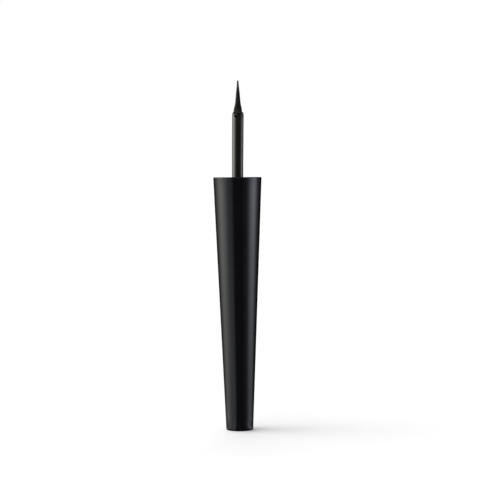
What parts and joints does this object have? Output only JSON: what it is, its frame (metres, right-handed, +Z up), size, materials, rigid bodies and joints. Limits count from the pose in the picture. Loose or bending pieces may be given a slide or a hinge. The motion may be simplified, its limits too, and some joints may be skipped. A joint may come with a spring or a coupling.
{
  "type": "liquid eyeliner applicator",
  "caption": "Tapered gloss cap of a dip-in liquid eyeliner, standing on its closed end, with a stem and fine pointed brush rising from its threaded mouth.",
  "frame": {"origin": "centre of the cap's foot, on the surface it stands on", "axes": "+Z up along the cap's axis, from the closed foot through the mouth to the brush tip; -Y faces the viewer and +X is to the viewer's right"},
  "size_m": [0.0142, 0.0142, 0.1024],
  "materials": {
    "cap_shell": "high-gloss black moulding, ABS",
    "inner_cap": "satin black polypropylene",
    "neck_seal": "soft pale elastomer washer",
    "stem": "smooth black polypropylene",
    "brush_tuft": "black tapered nylon filaments"
  },
  "bodies": {
    "root": {"cap_shell": "cap_shell", "inner_cap": "inner_cap", "neck_seal": "neck_seal", "stem": "stem", "brush_tuft": "brush_tuft"}
  },
  "joints": []
}
